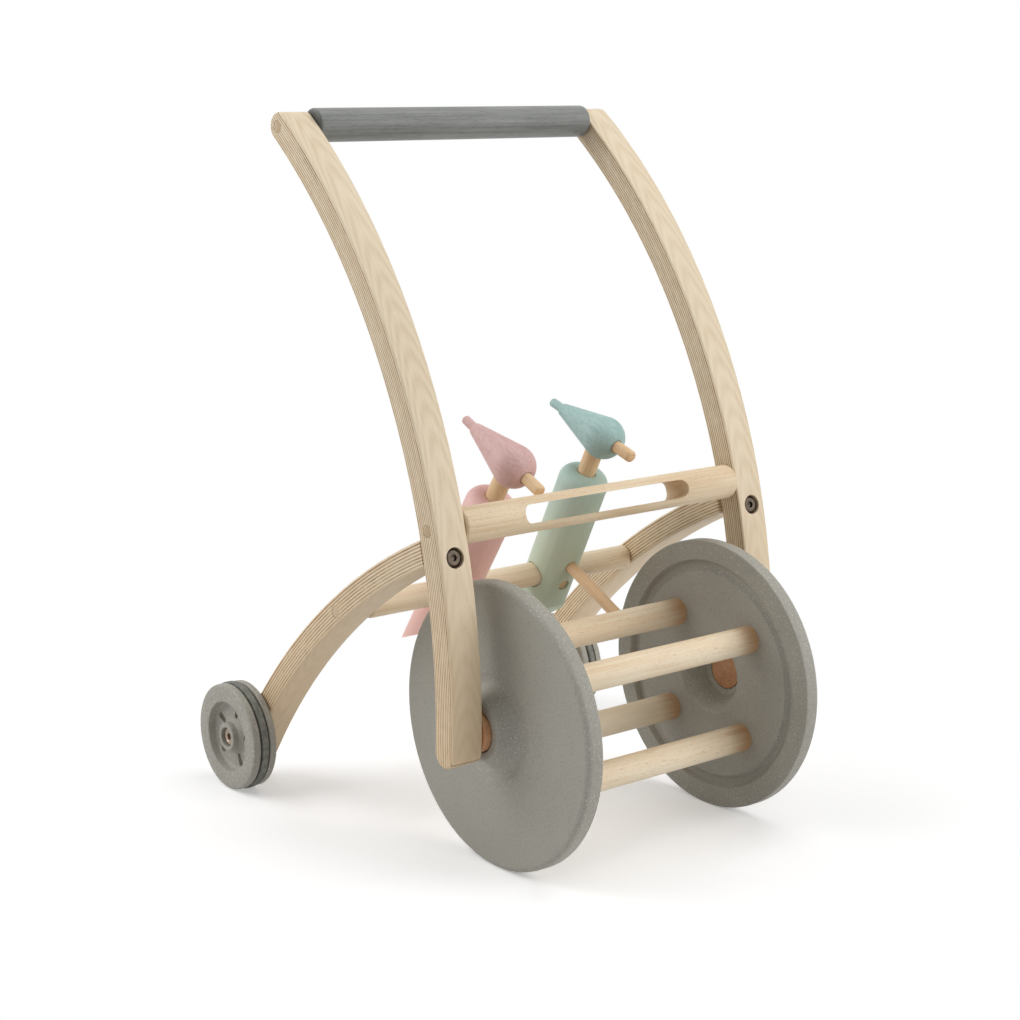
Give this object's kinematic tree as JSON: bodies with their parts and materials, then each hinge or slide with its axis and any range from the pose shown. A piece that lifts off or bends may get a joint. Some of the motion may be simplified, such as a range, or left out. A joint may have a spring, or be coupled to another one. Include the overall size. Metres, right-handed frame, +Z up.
{
  "type": "baby push walker",
  "caption": "Wooden push walker with bent ply sides, a rolling drum of two dished wheels and rods, small rear wheels and nodding birds whose beaks tap a slotted bar.",
  "frame": {"origin": "centre of the bounding box on the floor, under the middle of the walker", "axes": "+X across to the child's left, -Y forward (the way the drum leads), +Z up"},
  "size_m": [0.3254, 0.3679, 0.4853],
  "materials": {
    "birch_ply": "clear matt lacquer on pale bent birch plywood, with dark glue lines on its edges",
    "beech": "clear matt lacquer on warm beech",
    "brown_beech": "matt, darker end grain",
    "grey_stain": "grey stain with the grain showing, satin",
    "pink_stain": "dusty pink stain, matt",
    "mint_stain": "pale mint stain, matt",
    "composite": "warm grey wood-fibre composite with pale specks, matt",
    "rubber_ring": "dark grey, matt",
    "bronze_bolt": "dark bronze, satin",
    "steel": "warm plated steel, satin",
    "insert_brass": "plain machined"
  },
  "bodies": {
    "frame": {"side_bar_left": "birch_ply", "side_bar_right": "birch_ply", "grip": "grey_stain", "knock_bar": "beech", "rear_arm_left": "birch_ply", "rear_arm_right": "birch_ply", "bird_axle": "beech", "hub_stub_left": "brown_beech", "hub_stub_right": "brown_beech", "arm_bolt_left": "bronze_bolt", "arm_bolt_right": "bronze_bolt", "arm_insert_left": "insert_brass", "arm_insert_right": "insert_brass", "arm_dowel_left": "beech", "arm_dowel_right": "beech", "grip_screw_left": "steel", "grip_screw_right": "steel", "grip_plug_left": "beech", "grip_plug_right": "beech", "knock_screw_left": "steel", "knock_screw_right": "steel", "knock_plug_left": "beech", "knock_plug_right": "beech", "axle_screw_left": "steel", "axle_screw_right": "steel", "axle_plug_left": "beech", "axle_plug_right": "beech", "rear_bolt_left": "steel", "rear_bolt_right": "steel", "rear_insert_left": "insert_brass", "rear_insert_right": "insert_brass", "rear_washer_left": "steel", "rear_washer_right": "steel"},
    "drum": {"drum_wheel_left": "composite", "drum_wheel_right": "composite", "drum_rod_a": "beech", "drum_rod_b": "beech", "drum_rod_c": "beech", "drum_rod_d": "beech"},
    "pink_bird": {"pink_body": "pink_stain", "pink_neck": "beech", "pink_head": "pink_stain", "pink_beak": "beech", "pink_peg": "beech", "pink_pin": "beech"},
    "mint_bird": {"mint_body": "mint_stain", "mint_neck": "beech", "mint_head": "mint_stain", "mint_beak": "beech", "mint_peg": "beech", "mint_pin": "beech"},
    "rear_left": {"rear_wheel_left": "composite", "rear_ring_left": "rubber_ring"},
    "rear_right": {"rear_wheel_right": "composite", "rear_ring_right": "rubber_ring"}
  },
  "joints": [
    {"name": "drum_roll", "type": "hinge", "parent": "frame", "child": "drum", "pos_m": [0, -0.08895, 0.095], "axis": [1, 0, 0], "continuous": true},
    {"name": "pink_nod", "type": "hinge", "parent": "frame", "child": "pink_bird", "pos_m": [-0.0449, 0.03095, 0.153], "axis": [-1, 0, 0], "range_deg": [0, 70]},
    {"name": "mint_nod", "type": "hinge", "parent": "frame", "child": "mint_bird", "pos_m": [0.0449, 0.03095, 0.153], "axis": [-1, 0, 0], "range_deg": [-6.9, 63.1]},
    {"name": "rear_roll_left", "type": "hinge", "parent": "frame", "child": "rear_left", "pos_m": [0.1529, 0.14495, 0.039], "axis": [1, 0, 0], "continuous": true},
    {"name": "rear_roll_right", "type": "hinge", "parent": "frame", "child": "rear_right", "pos_m": [-0.1529, 0.14495, 0.039], "axis": [1, 0, 0], "continuous": true}
  ]
}
